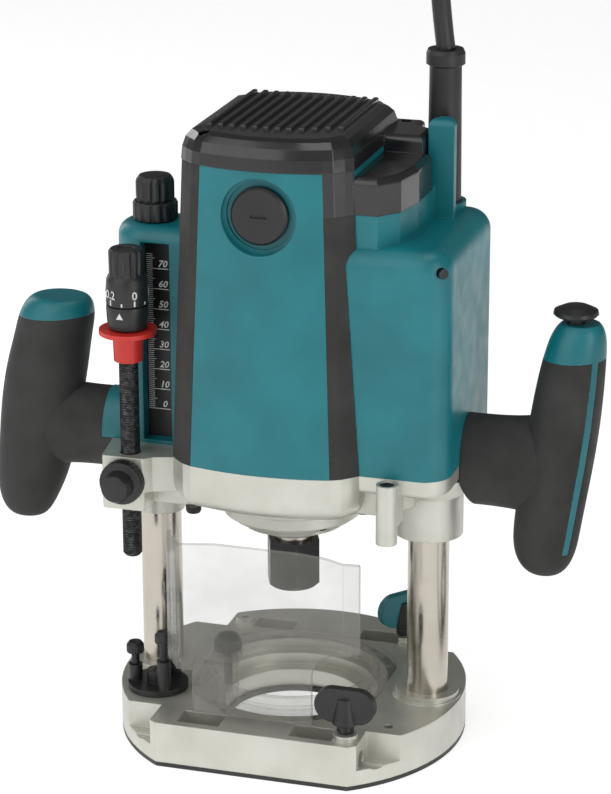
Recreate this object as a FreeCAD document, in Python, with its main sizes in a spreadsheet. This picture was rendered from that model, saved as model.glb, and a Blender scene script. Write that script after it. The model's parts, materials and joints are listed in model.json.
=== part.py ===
import FreeCAD, Part
import Sketcher
import math
import os

# Two-handled plunge router. Millimetres, +Z up, the work surface at z = 0, the
# spindle axis at x = y = 0 and the columns at y = 0. The front is -Y.

V = FreeCAD.Vector
UP = V(0, 0, 1)
ORIGIN = V(0, 0, 0)

doc = FreeCAD.newDocument("plunge_router")
sheet = doc.addObject("Spreadsheet::Sheet", "dims")

DRIVING = [
    # base
    ("base_radius", 85.0), ("base_front", 70.4), ("sole_thick", 2.2), ("base_top", 22.6),
    ("opening_radius", 32.0), ("notch_x", 51.5), ("notch_y", 50.5), ("notch_floor", 9.7),
    ("guide_y", 60.0), ("guide_z", 12.6), ("guide_bore", 4.05),
    # columns and plunge
    ("column_x", 68.0), ("column_radius", 10.0), ("column_foot", 4.2), ("column_top", 176.0),
    ("boss_radius", 15.5), ("boss_top", 26.0), ("sliding_fit", 0.05), ("running_gap", 0.3),
    # motor unit
    ("housing_low", 148.7), ("cover_low", 293.0), ("cover_top", 308.5), ("motor_bore", 38.5),
    ("panel_low_half", 34.0), ("panel_top_half", 29.0), ("panel_low_y", 53.0),
    ("panel_top_y", 47.8), ("panel_bulge", 4.5), ("side_low_x", 46.0), ("side_top_x", 41.0),
    ("brush_z", 271.8), ("brush_cap_radius", 13.6), ("brush_ring_radius", 18.0),
    ("tower_radius", 17.8), ("tower_top", 252.0), ("box_right", 86.5), ("box_front", 43.5),
    ("box_rear", 50.0), ("box_top", 258.0), ("tower_bore_top", 247.0),
    # bracket
    ("lobe_low", 118.0), ("lobe_top", 144.6), ("skirt_low", 127.0), ("collar_low_right", 107.7),
    ("collar_low_left", 105.5), ("collar_radius", 16.5), ("retainer_radius", 33.7),
    ("retainer_low", 101.5), ("retainer_top", 119.0),
    # depth stop
    ("rod_x", 71.5), ("rod_y", 31.8), ("rod_radius", 4.7), ("rod_low", 91.8),
    ("lock_z", 133.5), ("turret_x", 60.5), ("turret_y", 29.8), ("turret_radius", 14.75),
    ("turret_low", 22.9), ("turret_disc", 2.8), ("post_ring", 11.3), ("post_radius", 3.4),
    # spindle
    ("nut_flats", 24.0), ("nut_low", 73.0), ("nut_top", 97.5), ("shaft_radius", 8.0),
    ("collet_bore", 6.0), ("stator_radius", 38.0), ("core_radius", 27.0),
    # handles
    ("arm_left_z", 145.0), ("arm_right_z", 147.0), ("arm_half_tall", 20.5), ("arm_half_deep", 16.0),
    # cord
    ("cord_diameter", 9.0), ("guard_x", 63.2), ("guard_y", 40.0), ("guard_radius", 7.6),
    ("guard_top", 334.0), ("coil_x", 249.0), ("coil_y", 58.0), ("coil_mid", 54.0),
    ("coil_half_wide", 13.5), ("coil_tall", 17.0), ("plug_x", 291.0), ("plug_out", 58.5),
]


class Size(float):
    """A length that also remembers the sheet cells that it was worked out from."""

    def __new__(cls, value, text):
        made = float.__new__(cls, value)
        made.text = text
        return made

    def joined(self, sign, other, value):
        other_text = other.text if isinstance(other, Size) else repr(float(other))
        return Size(value, "(%s %s %s)" % (self.text, sign, other_text))

    def __add__(self, other):
        return self.joined("+", other, float(self) + float(other))

    def __sub__(self, other):
        return self.joined("-", other, float(self) - float(other))

    def __mul__(self, other):
        return self.joined("*", other, float(self) * float(other))

    def __truediv__(self, other):
        return self.joined("/", other, float(self) / float(other))

    def __neg__(self):
        return Size(-float(self), "(0 - %s)" % self.text)


class Dims:
    """The driving dimensions, as attributes named after the sheet's aliases."""


d = Dims()
for row, (alias, value) in enumerate(DRIVING, start=1):
    sheet.set("A%d" % row, alias)
    sheet.set("B%d" % row, str(value))
    sheet.setAlias("B%d" % row, alias)
    setattr(d, alias, Size(value, "dims." + alias))
doc.recompute()


# ---------------------------------------------------------------- document helpers

def bind(thing, prop, size):
    """Set one property, through the sheet where the size came from it."""
    thing.setExpression(prop, size.text if isinstance(size, Size) else repr(float(size)))


TURNS = {
    "+z": FreeCAD.Rotation(UP, 0),
    "-z": FreeCAD.Rotation(V(1, 0, 0), 180),
    "+x": FreeCAD.Rotation(V(0, 1, 0), 90),
    "-x": FreeCAD.Rotation(V(0, 1, 0), -90),
    "+y": FreeCAD.Rotation(V(1, 0, 0), -90),
    "-y": FreeCAD.Rotation(V(1, 0, 0), 90),
}


def place(thing, at, facing="+z", turn=0.0):
    spin = FreeCAD.Rotation(UP, turn)
    thing.Placement = FreeCAD.Placement(ORIGIN, TURNS[facing].multiply(spin))
    for axis, size in zip("xyz", at):
        bind(thing, "Placement.Base." + axis, size)
    return thing


def cylinder(name, radius, height, at, facing="+z"):
    thing = doc.addObject("Part::Cylinder", name)
    bind(thing, "Radius", radius)
    bind(thing, "Height", height)
    return place(thing, at, facing)


def cone(name, low, high, height, at, facing="+z"):
    thing = doc.addObject("Part::Cone", name)
    bind(thing, "Radius1", low)
    bind(thing, "Radius2", high)
    bind(thing, "Height", height)
    return place(thing, at, facing)


def block(name, size, at, turn=0.0):
    thing = doc.addObject("Part::Box", name)
    for prop, length in zip(("Length", "Width", "Height"), size):
        bind(thing, prop, length)
    return place(thing, at, "+z", turn)


def prism(name, sides, corner_radius, height, at, facing="+z", turn=0.0):
    thing = doc.addObject("Part::Prism", name)
    thing.Polygon = sides
    bind(thing, "Circumradius", corner_radius)
    bind(thing, "Height", height)
    return place(thing, at, facing, turn)


def fuse(name, pieces):
    thing = doc.addObject("Part::MultiFuse", name)
    thing.Shapes = pieces
    thing.Refine = True
    return thing


def cut(name, whole, tools):
    tool = tools[0] if len(tools) == 1 else fuse(name + "_tools", tools)
    thing = doc.addObject("Part::Cut", name)
    thing.Base = whole
    thing.Tool = tool
    thing.Refine = True
    return thing


def common(name, one, other):
    thing = doc.addObject("Part::Common", name)
    thing.Base = one
    thing.Tool = other
    return thing


def group(name, pieces):
    """Several like solids that share one file."""
    thing = doc.addObject("Part::Compound", name)
    thing.Links = pieces
    return thing


def made(name, shape):
    """A solid worked out by Part's own functions from the sheet's sizes."""
    thing = doc.addObject("Part::Feature", name)
    thing.Shape = shape
    return thing


def origin_item(body, role):
    return [item for item in body.Origin.OriginFeatures if item.Role == role][0]


def outline(body, name, plane, points, lift=None):
    """A closed sketch of straight lines, each corner tied to the sheet."""
    sketch = body.newObject("Sketcher::SketchObject", name)
    sketch.AttachmentSupport = [(origin_item(body, plane), "")]
    sketch.MapMode = "FlatFace"
    if lift is not None:
        bind(sketch, "AttachmentOffset.Base.z", lift)
    corners = [V(float(x), float(y), 0) for x, y in points]
    for index, corner in enumerate(corners):
        sketch.addGeometry(Part.LineSegment(corner, corners[(index + 1) % len(corners)]))
    for index in range(len(corners)):
        following = (index + 1) % len(corners)
        sketch.addConstraint(Sketcher.Constraint("Coincident", index, 2, following, 1))
    for index, (x, y) in enumerate(points):
        for kind, size in (("DistanceX", x), ("DistanceY", y)):
            number = sketch.addConstraint(Sketcher.Constraint(kind, -1, 1, index, 1, float(size)))
            if isinstance(size, Size):
                sketch.setExpression("Constraints[%d]" % number, size.text)
    return sketch


def padded(name, points, height, at, plane="XY_Plane", facing="+z"):
    """A PartDesign body: one straight-sided outline, padded."""
    body = doc.addObject("PartDesign::Body", name)
    sketch = outline(body, name + "_outline", plane, points)
    pad = body.newObject("PartDesign::Pad", name + "_pad")
    pad.Profile = sketch
    bind(pad, "Length", height)
    sketch.Visibility = False
    return place(body, at, facing)


def turned(name, points, at, facing="+z"):
    """A PartDesign body: a half section (radius, height) turned about its own axis."""
    body = doc.addObject("PartDesign::Body", name)
    sketch = outline(body, name + "_section", "XZ_Plane", points)
    lathe = body.newObject("PartDesign::Revolution", name + "_turn")
    lathe.Profile = sketch
    lathe.ReferenceAxis = (sketch, ["V_Axis"])
    lathe.Angle = 360
    return place(body, at, facing)


# ---------------------------------------------------------------- free shapes in code

def wire(*edges):
    return Part.Wire(list(edges))


def line(start, end):
    return Part.LineSegment(start, end).toShape()


def arc(start, middle, end):
    return Part.Arc(start, middle, end).toShape()


def polygon(points, z):
    corners = [V(float(x), float(y), float(z)) for x, y in points]
    return Part.makePolygon(corners + [corners[0]])


def slab(points, low, high):
    """A straight prism over a plan outline, from one height to another."""
    face = Part.Face(polygon(points, low))
    return face.extrude(V(0, 0, float(high) - float(low)))


def rounded(shape, radius, test):
    """Round the edges for which test(edge) is true."""
    edges = [edge for edge in shape.Edges if test(edge)]
    return shape.makeFillet(float(radius), edges)


def upright(edge):
    low, high = edge.BoundBox.ZMin, edge.BoundBox.ZMax
    flat = edge.BoundBox.XLength + edge.BoundBox.YLength
    return high - low > 1.0 and flat < 0.2 * (high - low)


def at_height(z, slack=0.05):
    return lambda edge: abs(edge.BoundBox.ZMin - float(z)) < slack and abs(edge.BoundBox.ZMax - float(z)) < slack


def tube_z(radius, low, high, x=0.0, y=0.0):
    return Part.makeCylinder(float(radius), float(high) - float(low), V(float(x), float(y), float(low)))


def oval(centre, half_long, half_short, normal, long_axis):
    """An ellipse as a closed wire, given its centre and the direction of its long axis."""
    across = normal.cross(long_axis)
    curve = Part.Ellipse(centre + long_axis * half_long, centre + across * half_short, centre)
    return Part.Wire([curve.toShape()])


# ---------------------------------------------------------------- base

def base_outline_solid(name, low, high):
    """The round base cut off flat at the front."""
    disc = cylinder(name + "_disc", d.base_radius, high - low, (0, 0, low))
    front = block(name + "_front", (200, 40, high - low + 2), (-100, -d.base_front - 40, low - 1))
    return disc, front


def base_casting():
    disc, front = base_outline_solid("casting", d.sole_thick, d.base_top)
    bosses = []
    tools = [front]
    for side, sign in (("left", -1), ("right", 1)):
        x = d.column_x * sign
        bosses.append(cylinder("boss_" + side, d.boss_radius, d.boss_top - 5, (x, 0, 5)))
        if sign > 0:
            bosses.append(cylinder("boss_foot", d.boss_radius + 1.1, d.base_top - 4, (x, 0, 5)))
        tools.append(cylinder("socket_" + side, d.column_radius, 40, (x, 0, d.column_foot)))
        for end, way in (("front", -1), ("rear", 1)):
            left_edge = d.notch_x if sign > 0 else -d.notch_x - 50
            near_edge = d.notch_y if way > 0 else -d.notch_y - 50
            notch = block("notch_%s_%s" % (side, end), (50, 50, 30), (left_edge, near_edge, d.notch_floor))
            tools.append(notch)
            pocket_x = 17.5 if sign > 0 else -38.5
            pocket_y = 53.0 if way > 0 else -65.8
            pocket = block("pocket_%s_%s" % (side, end), (21.0, 12.8, 20.0), (pocket_x, pocket_y, 9.0))
            tools.append(pocket)
    for end, way in (("front", -1), ("rear", 1)):
        y = d.guide_y * way
        tools.append(cylinder("guide_bore_" + end, d.guide_bore, 130, (-65, y, d.guide_z), "+x"))
    for name, x, y in (("front", 44.0, -d.guide_y), ("rear", 40.0, d.guide_y)):
        bosses.append(cylinder("clamp_boss_" + name, 5.9, 6.0, (x, y, d.base_top - 3.4)))
        tools.append(cylinder("clamp_hole_" + name, 2.85, 30.0, (x, y, d.guide_z)))
    bosses.append(cylinder("rear_boss", 5.0, 6.0, (-44.0, 58.5, d.base_top - 3.4)))
    tools.append(cylinder("rear_boss_hole", 2.0, 8.0, (-44.0, 58.5, d.base_top - 2.0)))
    tools.append(cylinder("opening", d.opening_radius + 2, 40, (0, 0, 0)))
    tools.append(cylinder("opening_step", d.opening_radius + 9, 40, (0, 0, 11.0)))
    tools.append(cylinder("opening_tray", d.opening_radius + 14.5, 40, (0, 0, 17.0)))
    tools.append(cylinder("turret_hole", 2.5, 20.0, (-d.turret_x, -d.turret_y, 8.0)))
    tools.append(cylinder("spare_hole", 2.2, 20.0, (60.2, -42.3, 12.0)))
    for index, (x, y) in enumerate(SOLE_SCREWS):
        tools.append(cylinder("sole_screw_hole_%d" % index, 2.0, 10.0, (x, y, 0)))
    whole = fuse("casting_whole", [disc] + bosses)
    return cut("base_casting", whole, tools)


SOLE_SCREWS = [(43.0, 36.0), (-43.0, 36.0), (43.0, -36.0), (-40.0, -42.0)]


def sole_plate():
    disc, front = base_outline_solid("sole", Size(0.0, "0.0"), d.sole_thick)
    tools = [front, cylinder("sole_opening", d.opening_radius, 10, (0, 0, -2))]
    for index, (x, y) in enumerate(SOLE_SCREWS):
        tools.append(cone("sole_sink_%d" % index, 3.9, 2.0, 2.0, (x, y, 0.2)))
        tools.append(cylinder("sole_hole_%d" % index, 3.9, 0.2, (x, y, 0)))
    return cut("sole_plate", disc, tools)


def base_screws():
    """Four countersunk sole screws, and the screw that the stop turret turns on."""
    screws = []
    for index, (x, y) in enumerate(SOLE_SCREWS):
        section = [(0, 0.3), (3.8, 0.3), (2.0, 2.1), (2.0, 9.0), (0, 9.0)]
        screws.append(turned("sole_screw_%d" % index, section, (x, y, 0)))
    pivot = [(0, 0), (2.5, 0), (2.5, 20.9), (3.9, 20.9), (3.9, 23.4), (0, 23.4)]
    screws.append(turned("turret_screw", pivot, (-d.turret_x, -d.turret_y, 8.0)))
    return group("base_screws", screws)


def column(side, sign, hollow):
    """A ground steel guide column; the right one is hollow for the plunge spring."""
    whole = cylinder("column_%s_bar" % side, d.column_radius, d.column_top - d.column_foot,
                     (d.column_x * sign, 0, d.column_foot))
    if not hollow:
        hole = cylinder("column_%s_thread" % side, 4.0, 30, (d.column_x * sign, 0, d.column_top - 14))
        return cut("column_" + side, whole, [hole])
    bore = cylinder("column_%s_bore" % side, 7.5, 200, (d.column_x * sign, 0, d.column_foot + 4))
    return cut("column_" + side, whole, [bore])


def limit_stops():
    """Threaded stud in the left column, and the two-tier knob on it that sets the upper limit."""
    x = -d.column_x
    stud = cylinder("limit_stud", 4.0, 106.0, (x, 0, d.column_top - 14))
    nut_low = d.tower_top + d.running_gap
    nut_body = turned("limit_nut_body", [(4.05, 0), (10.0, 0), (10.9, 1.2), (10.9, 8.4), (10.0, 9.4), (4.05, 9.4)],
                      (x, 0, nut_low))
    nut = scalloped("limit_nut_ring", nut_body, 12, 10.9, 1.1, (x, Size(0, "0.0"), nut_low), 10.0)
    cap_section = [(0, 7.0), (4.05, 7.0), (4.05, 0), (8.4, 0), (9.2, 1.0), (9.2, 9.6), (7.6, 12.4), (0, 12.4)]
    cap_low = nut_low + 9.4
    cap_body = turned("limit_cap_body", cap_section, (x, 0, cap_low))
    cap = scalloped("limit_cap", cap_body, 12, 9.2, 1.0, (x, Size(0, "0.0"), cap_low), 9.0)
    return stud, fuse("limit_knob", [nut, cap])


def scalloped(name, body, count, radius, groove, at, tall, facing="+z"):
    """Cut a ring of grip flutes into a knob that is turned about the given axis."""
    flutes = []
    for index in range(count):
        angle = 2 * math.pi * index / count
        across, along = radius * math.cos(angle), radius * math.sin(angle)
        if facing == "+z":
            spot = (at[0] + across, at[1] + along, at[2])
        else:
            spot = (at[0] + across, at[1], at[2] + along)
        flutes.append(cylinder("%s_flute_%d" % (name, index), groove, tall, spot, facing))
    return cut(name, body, flutes)


# ---------------------------------------------------------------- stop turret

def turret_place(angle, radius):
    return (-d.turret_x + radius * math.cos(math.radians(angle)),
            -d.turret_y + radius * math.sin(math.radians(angle)))


POSTS = [("low", 185.0, 33.7, 45.4), ("middle", 305.0, 40.8, 56.0), ("high", 65.0, 30.5, 70.0)]


def stop_turret():
    low = d.turret_low
    disc = cylinder("turret_disc_body", d.turret_radius, d.turret_disc, (-d.turret_x, -d.turret_y, low))
    pieces = [disc]
    tools = [cylinder("turret_pivot_hole", 2.55, 30, (-d.turret_x, -d.turret_y, low - 1))]
    for name, angle, post_top, head_top in POSTS:
        x, y = turret_place(angle, float(d.post_ring))
        pieces.append(cylinder("post_" + name, d.post_radius, post_top - low, (x, y, low)))
        tools.append(cylinder("post_hole_" + name, 2.05, 60, (x, y, low + 2)))
    pieces.append(cylinder("turret_hub", 5.4, 8.4, (-d.turret_x, -d.turret_y, low)))
    tools.append(cylinder("turret_hub_sink", 4.2, 30, (-d.turret_x, -d.turret_y, low + 5.6)))
    return cut("stop_turret", fuse("turret_whole", pieces), tools)


def stop_screw(name, angle, head_top):
    x, y = turret_place(angle, float(d.post_ring))
    low = d.turret_low + 2.5
    tall = head_top - low
    section = [(0, 0), (2.0, 0), (2.0, tall - 5.4), (4.1, tall - 5.4), (4.1, tall - 1.2), (3.2, tall), (0, tall)]
    body = turned("stop_screw_%s_body" % name, section, (x, y, low))
    slot = block("stop_screw_%s_slot" % name, (7.0, 1.0, 2.0), (x - 3.5, y - 0.5, head_top - 1.4))
    return cut("stop_screw_" + name, body, [slot])


# ---------------------------------------------------------------- guide clamps

def clamp(name, x, sign, turn):
    """A thumb screw that holds a guide rod in the base, and the spring below its hub."""
    y = d.guide_y * sign
    top = d.base_top
    low = d.guide_z + d.guide_bore + 0.4
    rise = top + 8.0 - low
    hub_section = [(0, 0), (2.8, 0), (2.8, rise), (6.4, rise), (6.0, rise + 2), (3.8, rise + 12.5),
                   (0, rise + 12.5)]
    hub = turned("clamp_hub_" + name, hub_section, (x, y, low))
    wing = wing_shape(name, x, float(y), float(top) + 16.8, turn)
    if name == "front":
        return [fuse("clamp_screw_front", [hub, wing])]
    return [group("clamp_screw_rear", [hub]), cut("clamp_wing_rear", wing, [hub])]


def wing_shape(name, x, y, z, turn):
    """A flat oval wing across the hub."""
    half, tall, thick = 14.8, 8.6, 4.4
    reach, near = half - tall, y - thick / 2
    shape = Part.makeBox(2 * reach, thick, 2 * tall, V(x - reach, near, z - tall))
    for way in (-1, 1):
        shape = shape.fuse(Part.makeCylinder(tall, thick, V(x + way * reach, near, z), V(0, 1, 0)))
    shape.rotate(V(x, y, z), UP, turn)
    return made("wing_" + name, shape)


def clamp_spring(name, x, sign):
    """A short coil spring round the screw, as rings one above another."""
    rings = []
    for index in range(4):
        ring = doc.addObject("Part::Torus", "spring_%s_%d" % (name, index))
        bind(ring, "Radius1", 3.75)
        bind(ring, "Radius2", 0.55)
        place(ring, (x, d.guide_y * sign, d.base_top + 3.3 + 1.25 * index))
        rings.append(ring)
    return rings


# ---------------------------------------------------------------- chip deflector

def deflector_base():
    """Clear ring around the opening, with a rim and the post of the shield's knob."""
    plate = cylinder("ring_plate", 52.0, 3.2, (0, 0, d.base_top))
    rim = cylinder("ring_rim", 42.0, 7.4, (0, 0, d.base_top))
    post = cylinder("ring_post", 5.0, 28.0, (-18.5, -46.5, d.base_top))
    tools = [
        cylinder("ring_opening", 39.5, 60, (0, 0, 0)),
        block("ring_left_trim", (20, 110, 40), (-65, -55, 20)),
        block("ring_right_trim", (20, 110, 40), (46, -55, 20)),
        block("ring_rear_trim", (120, 20, 40), (-60, 46, 20)),
        cylinder("ring_post_hole", 2.05, 30, (-18.5, -46.5, d.base_top + 10)),
    ]
    return cut("deflector_base", fuse("ring_whole", [plate, rim, post]), tools)


def deflector_shield():
    """One clear sheet, bent back at both ends, higher on the right to clear the thumb screw."""
    outer = [(-50.0, -42.0), (-49.0, -47.0), (-39.5, -61.0), (43.0, -61.0), (50.0, -56.0)]
    inner = [(49.0, -54.4), (42.4, -59.0), (-38.4, -59.0), (-47.2, -46.2), (-48.1, -42.0)]
    wall = slab(outer + inner, 26.4, 113.6)
    arch = Part.makeBox(60, 20, 60, V(27.5, -66, 4))
    arch = rounded(arch, 13.0, lambda edge: edge.BoundBox.XMax < 28 and edge.BoundBox.ZMin > 60)
    wall = wall.cut(arch).cut(Part.makeBox(40, 40, 40, V(-72.0, -70, 7.8)))
    for corners in ([(15, 114), (60, 114), (60, 107.0), (52, 108.4), (34, 112.6)],
                    [(-60, 115), (-20, 115), (-20, 113.6), (-36, 112.0), (-60, 109.4)]):
        points = [V(x, -70, z) for x, z in corners]
        wall = wall.cut(Part.Face(Part.makePolygon(points + [points[0]])).extrude(V(0, 40, 0)))
    tab = slab([(-27, -59.1), (-10, -59.1), (-12, -44), (-18.5, -40.5), (-25, -44)], 50.9, 53.6)
    tab = tab.cut(tube_z(2.3, 40, 60, -18.5, -46.5))
    return made("deflector_shield", wall.fuse(tab).removeSplitter())


def deflector_knob():
    section = [(0, 0), (2.0, 0), (2.0, 17.9), (6.4, 17.9), (6.8, 18.9), (6.5, 23.8), (4.6, 25.8), (0, 26.4)]
    body = turned("deflector_knob_body", section, (-18.5, -46.5, 36.9))
    return scalloped("deflector_knob", body, 12, 7.0, 0.6, (-18.5, -46.5, 54.0), 12.0)


# ---------------------------------------------------------------- motor housing

def housing_wire(z, half, front, side, grow=0.0):
    """Plan outline of the motor housing: bowed front, two facets at each corner."""
    half, front, side = float(half), float(front) + grow, float(side) + grow
    bow = front + float(d.panel_bulge)
    facet = [(half + 4.7, front - 2.4), (side - 3.2, front - 6.4), (side, front - 10.0)]
    right = [V(half, -front, z)] + [V(x, -y, z) for x, y in facet]
    right += [V(x, y, z) for x, y in reversed(facet)] + [V(half, front, z)]
    left = [V(-point.x, point.y, z) for point in reversed(right)]
    edges = [arc(left[-1], V(0, -bow, z), right[0])]
    edges += [line(start, end) for start, end in zip(right, right[1:])]
    edges.append(arc(right[-1], V(0, bow, z), left[0]))
    edges += [line(start, end) for start, end in zip(left, left[1:])]
    return wire(*edges)


def housing_at(z, grow=0.0):
    """The outline at any height: the walls draw in evenly towards the top."""
    share = (float(z) - float(d.housing_low)) / (float(d.cover_low) - float(d.housing_low))

    def mix(low, top):
        return float(low) + share * (float(top) - float(low))

    return housing_wire(float(z), mix(d.panel_low_half, d.panel_top_half), mix(d.panel_low_y, d.panel_top_y),
                        mix(d.side_low_x, d.side_top_x), grow)


def housing_core(low, high, grow=0.0):
    return Part.makeLoft([housing_at(low, grow), housing_at(high, grow)], True, True)


def corner_strip(sign, low, high, depth=1.8):
    """The part of a front corner's skin that the dark trim strip fills."""
    def ring(z):
        share = (z - float(d.housing_low)) / (float(d.cover_low) - float(d.housing_low))
        half = float(d.panel_low_half) + share * float(d.panel_top_half - d.panel_low_half)
        front = float(d.panel_low_y) + share * float(d.panel_top_y - d.panel_low_y)
        side = float(d.side_low_x) + share * float(d.side_top_x - d.side_low_x)
        outer = [(half, front), (half + 4.7, front - 2.4), (side - 3.2, front - 6.4), (side, front - 10.0)]
        inner = [(side - depth, front - 10.0), (side - 3.2 - depth, front - 6.4 - 0.4),
                 (half + 4.7 - 0.6, front - 2.4 - depth), (half, front - depth)]
        points = outer + inner
        return polygon([(x * sign, -y) for x, y in points], z)
    return Part.makeLoft([ring(float(low)), ring(float(high))], True, True)


STRIP_TOP = 272.6


def motor_housing():
    """Teal moulding around the motor, open below, with brush-cap seats front and rear."""
    body = housing_core(d.housing_low, d.cover_low)
    for sign in (-1, 1):
        body = body.cut(corner_strip(sign, d.housing_low, d.cover_low))
    body = body.cut(tube_z(d.motor_bore, d.housing_low - 1, d.cover_low - 8))
    body = body.cut(tube_z(12.05, d.cover_low - 9, d.cover_low + 1))
    across = float(d.panel_low_y) * 2 + 20
    start = V(0, -across / 2, float(d.brush_z))
    seat = Part.makeCylinder(float(d.brush_ring_radius), across, start, V(0, 1, 0))
    ring = Part.makeCylinder(float(d.brush_cap_radius) + 2.6, across, start, V(0, 1, 0))
    hole = Part.makeCylinder(7.0, across, start, V(0, 1, 0))
    face = float(d.panel_top_y) + 3.6
    keep = Part.makeBox(200, 2 * (face - 2.6), 400, V(-100, -(face - 2.6), 0))
    deep = Part.makeBox(200, 2 * (face - 3.8), 400, V(-100, -(face - 3.8), 0))
    body = body.cut(seat.cut(keep)).cut(ring.cut(deep)).cut(hole)
    return made("motor_housing", body)


def trim_strips():
    """Dark strips set into the front corners; the right one stops below the cover's lobe."""
    strips = [made("trim_" + name, corner_strip(sign, d.housing_low, high))
              for name, sign, high in (("left", -1, d.cover_low), ("right", 1, STRIP_TOP))]
    return group("corner_trims", strips)


def brush_set():
    """Brush caps, brass holders and carbon brushes, front and rear."""
    face = float(d.panel_top_y) + 3.6
    caps = []
    holders = []
    brushes = []
    for name, way, facing in (("front", -1, "+y"), ("rear", 1, "-y")):
        y = (face + 0.4) * way
        section = [(0, 0), (d.brush_cap_radius - 1.2, 0), (d.brush_cap_radius, 1.2), (d.brush_cap_radius, 4.1),
                   (6.4, 4.1), (6.4, 7.0), (0, 7.0)]
        cap = turned("brush_cap_%s_body" % name, section, (0, Size(y, repr(y)), d.brush_z), facing)
        slot = block("brush_slot_" + name, (8.0, 2.0, 1.5), (-4.0, y - 1.0, d.brush_z - 0.75))
        caps.append(cut("brush_cap_" + name, cap, [slot]))
        start = (face - 7.0) * way
        holder = cylinder("brush_tube_" + name, 6.3, 24.0, (0, start, d.brush_z), facing)
        window = block("brush_window_" + name, (6.6, 60, 8.6), (-3.3, start - 30, d.brush_z - 4.3))
        holders.append(cut("brush_holder_" + name, holder, [window]))
        near = 14.2 if way > 0 else -14.2 - 22.0
        brushes.append(block("brush_" + name, (6.4, 22.0, 8.4), (-3.2, near, d.brush_z - 4.2)))
    return group("brush_caps", caps), group("brush_holders", holders), group("carbon_brushes", brushes)


# ---------------------------------------------------------------- towers

def left_tower():
    """Round-nosed tower over the left column, recessed for the depth scale."""
    x, radius = -float(d.column_x), float(d.tower_radius)
    low, top = float(d.lobe_top), float(d.tower_top)
    nose = tube_z(radius, low, top, x, 0)
    bridge = Part.makeBox(30, 2 * radius, top - low, V(x, -radius, low))
    body = nose.fuse(bridge).removeSplitter()
    body = rounded(body, 7.0, lambda edge: at_height(top)(edge) and edge.BoundBox.XMax < x + 29.9)
    root = arm([(-92.0, d.arm_left_z, d.arm_half_tall, d.arm_half_deep),
                (-74.0, d.arm_left_z, d.arm_half_tall, d.arm_half_deep)])
    body = body.fuse(root.common(Part.makeBox(40, 60, 60, V(-100, -30, low))))
    body = body.cut(Part.makeLoft([housing_at(low - 5), housing_at(top + 5)], True, True))
    bracket_room = [housing_at(low - 5, 0.6), housing_at(float(d.housing_low) + 0.3, 0.6)]
    body = body.cut(Part.makeLoft(bracket_room, True, True))
    body = body.cut(tube_z(d.column_radius + 0.4, low - 1, d.tower_bore_top, x, 0))
    body = body.cut(tube_z(4.35, low, top + 1, x, 0))
    recess = Part.makeBox(14.4, 20, 98.6, V(-69.6, -12.6 - 20, low + 1.8))
    return made("left_tower", body.cut(recess))


def scale_plate():
    low = float(d.lobe_top) + 2.6
    return block("scale_plate", (12.4, 0.7, 96.4), (-69.0, -13.3, low))


def side_box(low, high, inset=0.0):
    """Plan box round the right column, with rounded upright corners."""
    left, right = 36.0 + inset, float(d.box_right) - inset
    front, rear = -float(d.box_front) + inset, float(d.box_rear) - inset
    body = Part.makeBox(right - left, rear - front, high - low, V(left, front, low))
    return rounded(body, 13.0 - inset, lambda edge: upright(edge) and edge.BoundBox.XMin > right - 1)


RECESS = (84.5, -41.5, 249.0)


def side_cover():
    """Hollow right-hand housing: column guide, switch gear space, guard tab and cord seat."""
    low, top = float(d.housing_low), float(d.box_top)
    body = side_box(low, top)
    body = rounded(body, 9.5, lambda edge: at_height(top)(edge) and edge.BoundBox.XMax > 37.0)
    shoulder = slab([(36, -38), (52, -38), (60, -28), (63.5, -10), (63.5, 36), (36, 36)], top - 4, STRIP_TOP)
    body = body.fuse(shoulder)
    tab = slab([(60.5, 19.5), (73.0, 19.5), (73.0, 24.0), (70.5, 30.5), (63, 30.5), (60.5, 24.0)], top - 12, 304.5)
    tab = rounded(tab, 3.0, lambda edge: at_height(304.5)(edge))
    body = body.fuse(tab).fuse(tube_z(d.guard_radius + 3.0, top - 10, top + 3, d.guard_x, d.guard_y))
    hollow = side_box(low - 1, top - 8, 2.6)
    hollow = hollow.cut(tube_z(d.column_radius + 3.2, low - 2, top, d.column_x, 0))
    body = body.cut(hollow)
    body = body.cut(tube_z(d.column_radius + 0.4, low - 1, d.tower_bore_top + 3, d.column_x, 0))
    body = body.cut(Part.makeLoft([housing_at(low - 2), housing_at(STRIP_TOP + 2)], True, True))
    body = body.cut(tube_z(d.guard_radius - 0.6, top - 20, top + 10, d.guard_x, d.guard_y))
    body = body.cut(tube_z(d.guard_radius + 0.9, top + 0.9, top + 60, d.guard_x, d.guard_y))
    body = body.cut(Part.makeCylinder(2.4, 6, V(*RECESS), V(-1, 1, 0)))
    return made("side_cover", body.removeSplitter())


# ---------------------------------------------------------------- top cover

RIBS = 12


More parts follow.
